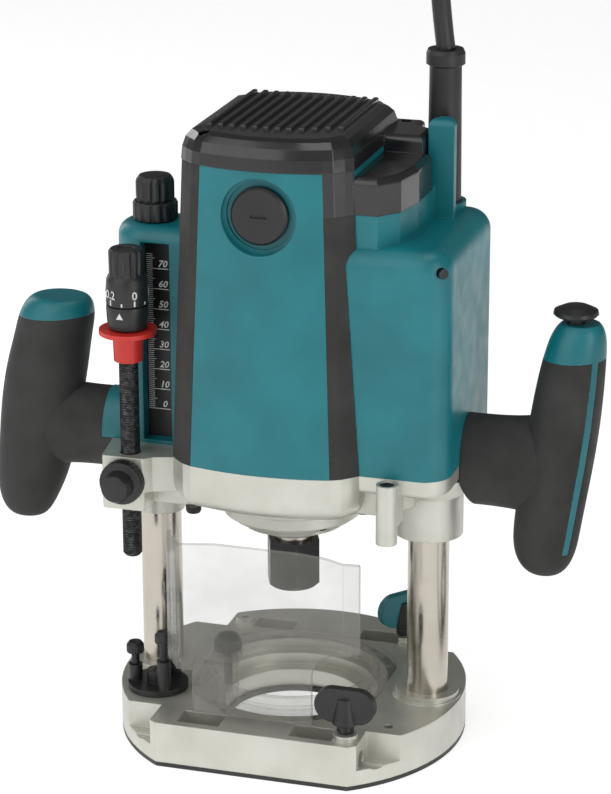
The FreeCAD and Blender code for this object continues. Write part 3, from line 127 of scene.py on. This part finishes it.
class Graph:
    """Short calls for building one material's nodes."""

    def __init__(self, name):
        self.material = bpy.data.materials.new(name)
        self.material.use_nodes = True
        self.tree = self.material.node_tree
        self.shader = self.tree.nodes["Principled BSDF"]
        coordinates = self.tree.nodes.new("ShaderNodeTexCoord")
        self.place = coordinates.outputs["Object"]

    def node(self, kind, inputs, output=0, **settings):
        made = self.tree.nodes.new("ShaderNode" + kind)
        for key, value in settings.items():
            setattr(made, key, value)
        for key, value in inputs.items():
            self.put(made.inputs[key], value)
        return made.outputs[output]

    def put(self, socket, value):
        if isinstance(value, bpy.types.NodeSocket):
            self.tree.links.new(value, socket)
        else:
            socket.default_value = value

    def set(self, name, value):
        self.put(self.shader.inputs[name], value)

    def noise(self, scale, detail=3.0, stretch=None):
        place = self.place
        if stretch:
            place = self.node("Mapping", {"Vector": place, "Scale": stretch})
        return self.node("TexNoise", {"Vector": place, "Scale": scale, "Detail": detail})

    def ramp(self, value, low, high, to_low=0.0, to_high=1.0):
        return self.node("MapRange", {"Value": value, "From Min": low, "From Max": high,
                                      "To Min": to_low, "To Max": to_high})

    def math(self, operation, one, other=0.0):
        return self.node("Math", {0: one, 1: other}, operation=operation)

    def mix(self, share, one, other):
        """Blend two colours."""
        made = self.tree.nodes.new("ShaderNodeMix")
        made.data_type = "RGBA"
        self.put(made.inputs[0], share)
        self.put(made.inputs[6], one)
        self.put(made.inputs[7], other)
        return made.outputs[2]

    def edges(self, radius):
        """The rounded normal, and a mask that is 1 along the object's edges."""
        round_normal = self.node("Bevel", {"Radius": radius * MM}, samples=4)
        flat_normal = self.node("NewGeometry", {}, output="Normal")
        along = self.node("VectorMath", {0: round_normal, 1: flat_normal}, output="Value",
                          operation="DOT_PRODUCT")
        return round_normal, self.ramp(along, 0.995, 0.86)


def colour4(values):
    return tuple(values) + (1.0,)


def plain(name, dark, light, rough, metal=0.0, grain=(1500.0, 0.05), mottle=60.0, wear=None, edge=0.5,
          stretch=None, rough_spread=0.07, **constants):
    """A solid material: mottled colour, fine grain, rounded edges and, if given, worn edges."""
    graph = Graph(name)
    patches = graph.noise(mottle, 4.0)
    colour = graph.mix(graph.ramp(patches, 0.35, 0.65), colour4(dark), colour4(light))
    fine = graph.noise(grain[0], 2.0, stretch)
    graph.set("Metallic", metal)
    base_rough = graph.ramp(graph.noise(mottle * 2.3, 3.0, stretch), 0.3, 0.7, rough - rough_spread,
                            rough + rough_spread)
    if edge:
        round_normal, edge_mask = graph.edges(edge)
        if wear:
            scuffs = graph.ramp(graph.noise(420.0, 5.0), 0.45, 0.62)
            worn = graph.math("MULTIPLY", edge_mask, scuffs)
            worn = graph.math("MULTIPLY", worn, wear[1])
            colour = graph.mix(worn, colour, colour4(wear[0]))
        bump = graph.node("Bump", {"Height": fine, "Strength": 0.5, "Distance": grain[1] * MM,
                                   "Normal": round_normal})
    else:
        bump = graph.node("Bump", {"Height": fine, "Strength": 0.5, "Distance": grain[1] * MM})
    graph.set("Base Color", colour)
    graph.set("Roughness", base_rough)
    graph.set("Normal", bump)
    for socket, value in constants.items():
        graph.shader.inputs[socket.replace("_", " ")].default_value = value
    return graph.material


def clear_plastic(name, tint, body_alpha, edge_alpha):
    """See-through moulding: faint and glossy face on, milkier at a slant and along its edges."""
    graph = Graph(name)
    slant = graph.node("LayerWeight", {"Blend": 0.35}, output="Facing")
    cloud = graph.ramp(graph.noise(45.0, 4.0), 0.3, 0.7, -0.03, 0.05)
    round_normal, edge_mask = graph.edges(0.9)
    alpha = graph.ramp(slant, 0.25, 1.0, body_alpha, edge_alpha)
    alpha = graph.math("ADD", alpha, cloud)
    alpha = graph.math("ADD", alpha, graph.math("MULTIPLY", edge_mask, 0.4))
    scratches = graph.noise(700.0, 4.0, (0.25, 1.0, 1.0))
    graph.set("Base Color", graph.mix(edge_mask, colour4(tint), (0.30, 0.29, 0.26, 1.0)))
    graph.set("Roughness", graph.ramp(scratches, 0.35, 0.7, 0.1, 0.3))
    graph.set("Alpha", alpha)
    graph.set("Normal", graph.node("Bump", {"Height": scratches, "Strength": 0.3, "Distance": 0.01 * MM,
                                            "Normal": round_normal}))
    graph.shader.inputs["IOR"].default_value = 1.49
    graph.material.use_backface_culling = False
    return graph.material


def make_materials():
    worn_light = (0.55, 0.55, 0.53)
    looks = {
        "cast": plain("cast", (0.55, 0.55, 0.49), (0.62, 0.62, 0.56), 0.42, 0.7, (1100.0, 0.10), 45.0,
                      ((0.75, 0.75, 0.72), 0.5), 0.8),
        "steel": plain("steel", (0.47, 0.43, 0.37), (0.55, 0.51, 0.45), 0.22, 1.0, (900.0, 0.006), 25.0,
                       None, 0.5, (1.0, 1.0, 14.0), 0.05, Anisotropic=0.4),
        "dark_steel": plain("dark_steel", (0.018, 0.018, 0.019), (0.032, 0.032, 0.033), 0.36, 0.5,
                            (1600.0, 0.03), 90.0, ((0.35, 0.35, 0.36), 0.7), 0.4),
        "iron": plain("iron", (0.13, 0.13, 0.14), (0.2, 0.2, 0.21), 0.5, 0.8, (900.0, 0.05), 60.0, None, 0.3,
                      (0.2, 0.2, 8.0)),
        "copper": plain("copper", (0.55, 0.22, 0.09), (0.72, 0.32, 0.14), 0.35, 1.0, (1200.0, 0.1), 80.0),
        "brass": plain("brass", (0.55, 0.40, 0.16), (0.68, 0.50, 0.22), 0.3, 1.0, (1400.0, 0.02), 60.0),
        "teal": plain("teal", (0.0015, 0.135, 0.16), (0.003, 0.17, 0.198), 0.4, 0.0, (1700.0, 0.05), 35.0,
                      ((0.05, 0.33, 0.36), 0.5), 0.7),
        "black_plastic": plain("black_plastic", (0.010, 0.010, 0.0105), (0.016, 0.016, 0.016), 0.42, 0.0,
                               (1600.0, 0.06), 50.0, ((0.07, 0.07, 0.07), 0.6), 0.6),
        "black_gloss": plain("black_gloss", (0.007, 0.007, 0.0075), (0.011, 0.011, 0.011), 0.2, 0.0,
                             (900.0, 0.012), 40.0, ((0.06, 0.06, 0.06), 0.4), 0.8, Coat_Weight=0.4,
                             Coat_Roughness=0.1),
        "grip_rubber": plain("grip_rubber", (0.022, 0.021, 0.02), (0.033, 0.032, 0.031), 0.68, 0.0,
                             (1300.0, 0.09), 45.0, ((0.06, 0.06, 0.06), 0.3), 0.9, Sheen_Weight=0.04,
                             Sheen_Roughness=0.5, Specular_IOR_Level=0.35),
        "red": plain("red", (0.48, 0.018, 0.012), (0.62, 0.03, 0.02), 0.38, 0.0, (1500.0, 0.03), 90.0,
                     ((0.8, 0.2, 0.16), 0.4), 0.4),
        "clear": clear_plastic("clear", (0.34, 0.335, 0.30), 0.15, 0.62),
        "sole": plain("sole", (0.014, 0.014, 0.014), (0.024, 0.024, 0.023), 0.5, 0.0, (800.0, 0.02), 50.0,
                      (worn_light, 0.3), 0.4),
        "cord": plain("cord", (0.012, 0.012, 0.012), (0.020, 0.020, 0.019), 0.5, 0.0, (700.0, 0.03), 30.0,
                      None, 0.0),
        "paint": plain("paint", (0.62, 0.62, 0.60), (0.72, 0.72, 0.70), 0.6, 0.0, (1500.0, 0.02), 90.0,
                       None, 0.0),
        "scale": plain("scale", (0.006, 0.006, 0.0065), (0.010, 0.010, 0.010), 0.33, 0.0, (1200.0, 0.02), 40.0,
                       (worn_light, 0.3), 0.3),
    }
    return looks


def dress_cad(looks):
    """Give every CAD node the material of its slot."""
    for row in frame["record"]["subparts"]:
        thing = NODES[row["node"]]
        thing.data.materials.clear()
        thing.data.materials.append(looks[row["material_slot"]])


make_camera()
make_studio()
LOOKS = make_materials()
dress_cad(LOOKS)


# ---------------------------------------------------------------- cord

CORD_ROUTE = [(63.2, 40, 334), (60, 40, 357), (58, 40, 397), (65, 41, 431), (89, 42, 456), (122, 42, 465),
              (155, 40, 456), (178, 36, 432), (187, 29, 399), (190, 16, 346), (189, -3, 286), (187, -23, 226),
              (186, -42, 168), (186, -56, 112), (186, -60, 72), (186, -53, 43), (186, -34, 18), (186, -4, 7),
              (186, 21, 5)]
COIL_CENTRE = (249.0, 58.0)
COIL_TURNS = [(63.0, 5.0), (54.0, 5.0), (45.0, 5.0), (49.5, 12.2), (58.5, 12.2)]
LAST_TURN = len(COIL_TURNS) - 1
STEPS = 16
PLUG_LEAD = [(262.0, 116.5, 11.0), (274.0, 116.5, 9.6), (291.0, 116.5, 9.0)]


def coil_points():
    """Clockwise turns from the route's end, each radius eased into the next, ending at the far side."""
    points = []
    for step in range(2, STEPS * len(COIL_TURNS) + STEPS // 4 + 1):
        turn, within = divmod(step, STEPS)
        turn = min(turn, LAST_TURN)
        following = min(turn + 1, LAST_TURN)
        share = max(0.0, (within / STEPS - 0.7) / 0.3)
        pairs = zip(COIL_TURNS[turn], COIL_TURNS[following])
        radius, height = (one + share * (two - one) for one, two in pairs)
        angle = math.pi - 2 * math.pi * step / STEPS
        x = COIL_CENTRE[0] + radius * math.cos(angle)
        y = COIL_CENTRE[1] + radius * math.sin(angle)
        points.append((x, y, height))
    return points


def make_cord():
    points = CORD_ROUTE + coil_points() + PLUG_LEAD
    data = bpy.data.curves.new("mains_cord", "CURVE")
    data.dimensions = "3D"
    data.bevel_depth = 4.5 * MM
    data.bevel_resolution = 5
    data.resolution_u = 6
    data.use_fill_caps = True
    spline = data.splines.new("NURBS")
    spline.points.add(len(points) - 1)
    for point, place in zip(spline.points, points):
        point.co = tuple(value * MM for value in place) + (1.0,)
    spline.order_u = 3
    spline.use_endpoint_u = True
    data.materials.append(LOOKS["cord"])
    cord = bpy.data.objects.new("mains_cord", data)
    bpy.context.scene.collection.objects.link(cord)
    return cord


# ---------------------------------------------------------------- building pieces

def piece(name, points, faces, slot, body, nodes=(), sharp=32.0, paint=None):
    """A mesh from millimetre points that rides a CAD body and may stand for CAD nodes."""
    mesh = bpy.data.meshes.new(name)
    mesh.from_pydata([mm(*point) for point in points], [], faces)
    mesh.shade_smooth()
    mesh.set_sharp_from_angle(angle=math.radians(sharp))
    mesh.materials.append(LOOKS[paint or slot])
    thing = bpy.data.objects.new(name, mesh)
    bpy.context.scene.collection.objects.link(thing)
    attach(thing, body)
    if nodes:
        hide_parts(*nodes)
    return thing


def skin(rings, caps=True):
    """Faces between rings of equal length, with the first and last ring closed."""
    count = len(rings[0])
    points = [point for ring in rings for point in ring]
    faces = []
    for row in range(len(rings) - 1):
        low, high = row * count, (row + 1) * count
        for index in range(count):
            after = (index + 1) % count
            faces.append((low + index, low + after, high + after, high + index))
    if caps:
        faces.append(tuple(reversed(range(count))))
        faces.append(tuple(range(len(points) - count, len(points))))
    return points, faces


def lathe(name, rows, spot, slot, body, nodes=(), axis=(0, 0, 1), count=0, round_part=0.6, steps=48,
          caps=True):
    """Turned piece. A row is (radius, height) or (radius, height, flute depth), with count flutes."""
    turn = Vector(axis).to_track_quat("Z", "Y")
    steps = count * 6 if count else steps
    rings = []
    for row in rows:
        radius, height = row[0], row[1]
        depth = row[2] if len(row) > 2 else 0.0
        ring = []
        for index in range(steps):
            angle = 2 * math.pi * index / steps
            groove = max(0.0, math.cos(count * angle)) ** round_part if count else 0.0
            reach = radius - depth * groove
            place = turn @ Vector((reach * math.cos(angle), reach * math.sin(angle), height)) + Vector(spot)
            ring.append(tuple(place))
        rings.append(ring)
    points, faces = skin(rings, caps)
    return piece(name, points, faces, slot, body, nodes)


def boxes(name, blocks, slot, body, nodes=(), paint=None):
    """Many small blocks in one mesh: each is its low corner and its high corner."""
    points, faces = [], []
    for low, high in blocks:
        start = len(points)
        for z in (low[2], high[2]):
            points += [(low[0], low[1], z), (high[0], low[1], z)]
            points += [(high[0], high[1], z), (low[0], high[1], z)]
        for face in ((3, 2, 1, 0), (4, 5, 6, 7), (0, 1, 5, 4), (1, 2, 6, 5), (2, 3, 7, 6), (3, 0, 4, 7)):
            faces.append(tuple(start + corner for corner in face))
    return piece(name, points, faces, slot, body, nodes, paint=paint)


def wire(name, points, thick, slot, body, nodes=()):
    """A round wire along a smooth path."""
    data = bpy.data.curves.new(name, "CURVE")
    data.dimensions = "3D"
    data.bevel_depth = thick * MM
    data.bevel_resolution = 3
    data.use_fill_caps = True
    spline = data.splines.new("NURBS")
    spline.points.add(len(points) - 1)
    for point, place in zip(spline.points, points):
        point.co = tuple(value * MM for value in place) + (1.0,)
    spline.order_u = 3
    spline.use_endpoint_u = True
    data.materials.append(LOOKS[slot])
    thing = bpy.data.objects.new(name, data)
    bpy.context.scene.collection.objects.link(thing)
    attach(thing, body)
    if nodes:
        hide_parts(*nodes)


def words(name, text, spot, size, facing, body, slant=0.0):
    """Painted digits, standing upright and facing the given way."""
    data = bpy.data.curves.new(name, "FONT")
    data.body = text
    data.size = size * MM
    data.extrude = 0.05 * MM
    data.offset = 0.07 * MM
    data.shear = slant
    data.align_x = "CENTER"
    data.resolution_u = 2
    data.materials.append(LOOKS["paint"])
    thing = bpy.data.objects.new(name, data)
    bpy.context.scene.collection.objects.link(thing)
    thing.location = mm(*spot)
    thing.rotation_euler = (math.pi / 2, 0.0, math.atan2(facing[0], -facing[1]))
    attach(thing, body)


def spiral(spot, radius, low, high, turns):
    """Points of a helix, 12 to a turn."""
    steps = int(turns * 12)
    points = []
    for step in range(steps + 1):
        angle = 2 * math.pi * step / 12
        points.append((spot[0] + radius * math.cos(angle), spot[1] + radius * math.sin(angle),
                       low + (high - low) * step / steps))
    return points


def screw_face(name, spot, radius, axis, slot, body):
    """A screw's domed head with a six-lobed recess."""
    rows = [(radius, -0.3), (radius, 0.15), (radius * 0.86, 0.5), (radius * 0.62, 0.62)]
    rows += [(radius * 0.58, 0.6, radius * 0.2), (radius * 0.52, -0.15, radius * 0.18)]
    lathe(name, rows, spot, slot, body, axis=axis, count=6, round_part=1.0)


# ---------------------------------------------------------------- depth stop and scale

ROD = (-71.5, -31.8)


def depth_rod():
    pitch = 1.25
    low, high = 91.8, 207.0
    rows = [(3.4, low), (4.0, low + 0.6)]
    for index in range(int((high - low - 1.5) / pitch)):
        z = low + 1.2 + pitch * index
        rows += [(4.2, z), (4.7, z + 0.35), (4.7, z + 0.65), (4.2, z + 1.0)]
    rows.append((4.2, high))
    lathe("depth_rod_thread", rows, ROD + (0.0,), "dark_steel", "depth_rod", ["depth_rod"], steps=32)
    ring = [(4.2, 207.2), (8.9, 207.2), (9.3, 207.7), (9.8, 213.0), (10.0, 217.9), (9.8, 218.6), (4.2, 218.8)]
    lathe("depth_ring", ring, ROD + (0.0,), "black_plastic", "depth_rod", ["depth_rod"])
    knob = [(4.8, 219.1), (9.6, 219.1), (9.9, 219.5), (9.95, 226.0), (9.7, 231.2), (8.9, 233.0), (8.3, 233.5),
            (8.3, 234.4, 0.9), (8.4, 244.3, 0.9), (8.2, 245.2, 0.5), (7.4, 245.9), (4.0, 246.0), (3.8, 245.6),
            (0.1, 245.6)]
    lathe("depth_knob_grip", knob, ROD + (0.0,), "black_plastic", "depth_knob", ["depth_knob"], count=14,
          round_part=0.8)


def round_the_rod(turn, radius):
    """A point round the rod's axis, and the way it faces: 0 is the front, positive is to the right."""
    facing = (math.sin(math.radians(turn)), -math.cos(math.radians(turn)))
    return (ROD[0] + radius * facing[0], ROD[1] + radius * facing[1]), facing


def mark(name, turn, radius, z, wide, tall, body, tip=None):
    """A painted tick, or with tip, a triangle, on a round face."""
    (x, y), facing = round_the_rod(turn, radius)
    side = (-facing[1], facing[0])
    corners = [(-wide / 2, 0.0), (wide / 2, 0.0)]
    corners += [(0.0, tall)] if tip else [(wide / 2, tall), (-wide / 2, tall)]
    rings = [[(x + across * side[0] + out * facing[0], y + across * side[1] + out * facing[1], z + up)
              for across, up in corners] for out in (-0.3, 0.09)]
    points, faces = skin(rings)
    piece(name, points, faces, None, body, paint="paint")


DIAL_ZERO = 41.0


def dial_marks():
    for index in range(10):
        turn = DIAL_ZERO - 36.0 * index
        mark("dial_tick_%d" % index, turn, 9.88, 219.8, 0.8, 2.6 if index % 2 == 0 else 1.5, "depth_knob")
        if index % 2 == 0:
            (x, y), facing = round_the_rod(turn, 10.05)
            text = "0.%d" % index if index else "0"
            words("dial_number_%d" % index, text, (x, y, 223.2), 5.6, facing, "depth_knob")
    mark("ring_arrow", -2.0, 9.86, 213.6, 3.4, 3.0, "depth_rod", tip=True)


SCALE_ZERO, SCALE_STEP, SCALE_FACE = 161.1, 10.03, -13.3


def scale_marks():
    blocks = []
    for tick in range(0, 78):
        z = SCALE_ZERO + SCALE_STEP * tick / 10.0
        end = -62.6 if tick % 10 == 0 else (-64.2 if tick % 5 == 0 else -65.2)
        blocks.append(((-68.2, SCALE_FACE - 0.06, z - 0.14), (end, SCALE_FACE + 0.05, z + 0.14)))
        if tick % 10 == 0:
            blocks.append(((-63.2, SCALE_FACE - 0.06, z - 0.2), (-57.4, SCALE_FACE + 0.05, z + 0.2)))
    boxes("scale_ticks", blocks, None, "motor_unit", paint="paint")
    for number in range(8):
        z = SCALE_ZERO + SCALE_STEP * number + 1.0
        spot = (-60.3, SCALE_FACE - 0.05, z)
        words("scale_number_%d" % (number * 10), str(number * 10), spot, 4.6, (0.0, -1.0), "motor_unit", slant=0.25)


# ---------------------------------------------------------------- knobs, springs, screws

def knobs():
    lock = [(2.9, 0), (3.0, 4.2), (9.8, 4.3), (10.5, 4.8), (10.7, 5.4, 0.5), (10.7, 9.7, 0.5), (10.4, 10.4),
            (8.0, 10.8), (7.3, 11.1), (7.1, 11.8), (7.0, 17.6), (6.2, 18.9), (4.6, 19.4), (0.1, 19.4)]
    lathe("rod_lock_grip", lock, (-71.5, -36.8, 133.5), "black_plastic", "rod_lock_knob", ["rod_lock_knob"],
          axis=(0, -1, 0), count=30)
    limit = [(4.1, 0.3), (9.9, 0.3), (10.8, 1.0, 0.8), (10.8, 8.2, 0.8), (10.1, 9.2), (8.4, 9.6), (8.6, 10.0),
             (9.2, 10.8, 0.9), (9.2, 18.6, 0.9), (8.8, 19.8, 0.5), (7.6, 21.4), (5.0, 22.0), (0.1, 22.0)]
    lathe("limit_knob_grip", limit, (-68.0, 0.0, 252.0), "black_plastic", "limit_knob", ["limit_knob"],
          count=14, round_part=0.5)
    deflector = [(2.0, 0), (2.0, 17.9), (6.0, 17.9), (6.7, 18.5, 0.45), (6.7, 22.9, 0.45), (6.2, 23.8),
                 (4.8, 25.4), (2.6, 26.2), (0.1, 26.3)]
    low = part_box("deflector_knob")[0].z / MM
    lathe("deflector_grip", deflector, (-18.5, -46.5, low), "black_plastic", "deflector_knob",
          ["deflector_knob"], count=22)
    for name in ("stop_screw_low", "stop_screw_middle", "stop_screw_high"):
        low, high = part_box(name)
        spot = ((low.x + high.x) / 2 / MM, (low.y + high.y) / 2 / MM, high.z / MM - 5.3)
        knurl = [(4.0, 0), (4.3, 0.4, 0.3), (4.3, 3.8, 0.3), (4.0, 4.2)]
        lathe(name + "_knurl", knurl, spot, "dark_steel", name, count=22, caps=False)


def springs():
    for name, x, y in (("front", 44.0, -60.0), ("rear", 40.0, 60.0)):
        wire("clamp_spring_" + name, spiral((x, y), 3.75, 26.0, 30.4, 4.0), 0.55, "dark_steel", "base",
             ["clamp_springs"])


COVER_SCREWS = [(-29.0, -40.5, 300.9), (44.5, 40.0, 296.4), (-29.0, 40.5, 300.9)]
RETAINER_RING, RETAINER_HEADS = 27.6, 110.9
BRACKET_SCREWS = [(42.4, -25.0, 123.8), (-42.4, -25.0, 114.8), (42.4, 25.0, 123.8), (-42.4, 25.0, 114.8)]


def screws():
    up, down = (0, 0, 1), (0, 0, -1)
    for index, spot in enumerate(COVER_SCREWS):
        screw_face("cover_screw_face_%d" % index, spot, 2.4, up, "dark_steel", "motor_unit")
    screw_face("boss_screw_face", (60.3, -48.6, 147.5), 3.3, up, "dark_steel", "motor_unit")
    screw_face("turret_screw_face", (-60.5, -29.8, 31.4), 3.7, up, "dark_steel", "base")
    for index in range(4):
        angle = math.radians(45 + 90 * index)
        spot = (RETAINER_RING * math.cos(angle), RETAINER_RING * math.sin(angle), RETAINER_HEADS)
        screw_face("retainer_screw_face_%d" % index, spot, 3.4, down, "dark_steel", "motor_unit")
    for index, spot in enumerate(BRACKET_SCREWS):
        screw_face("bracket_screw_face_%d" % index, spot, 3.4, down, "dark_steel", "motor_unit")


# ---------------------------------------------------------------- plug

def plug():
    """A moulded two-pin plug: ribbed neck, rounded body and sleeved pins."""
    start, side, tall = 291.0, 116.5, 9.0
    stations = [(0, 5.2, 5.2), (2, 5.8, 5.8)]
    for rib in range(5):
        x = 3.0 + 3.2 * rib
        wide = 6.0 + 0.45 * rib
        high = min(wide, 7.6)
        stations += [(x, wide, high), (x + 2.0, wide, high)]
        stations += [(x + 2.3, wide - 0.9, wide - 1.2), (x + 3.1, wide - 0.9, wide - 1.2)]
    stations += [(20.0, 10.0, 7.6), (24.0, 13.5, 8.0), (28.0, 15.0, 8.0), (46.0, 15.0, 8.0),
                 (47.6, 14.2, 7.2), (48.0, 13.0, 6.0)]
    rings = []
    for x, wide, high in stations:
        squareness = 2.0 if x < 20 else 4.0
        ring = []
        for step in range(40):
            angle = 2 * math.pi * step / 40
            across, up = math.cos(angle), math.sin(angle)
            ring.append((start + x, side + wide * math.copysign(abs(across) ** (2 / squareness), across),
                         tall + high * math.copysign(abs(up) ** (2 / squareness), up)))
        rings.append(ring)
    points, faces = skin(rings)
    made = [piece("plug_moulding", points, faces, "black_plastic", "base", ["plug"])]
    for name, way in (("left", -1), ("right", 1)):
        rows = [(2.35, 0), (2.35, 9.5), (2.4, 9.6), (2.4, 17.2), (2.0, 18.6), (1.2, 19.0), (0.1, 19.0)]
        spot = (start + 48.0, side + way * 9.5, tall)
        made.append(lathe("plug_pin_" + name, rows, spot, "steel", "base", ["plug"], axis=(1, 0, 0), steps=24))
    return made


depth_rod()
dial_marks()
scale_marks()
knobs()
springs()
screws()
plug_pieces = plug()
cord = make_cord()
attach(cord, "base")
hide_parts("cord_lead", "cord_coil")
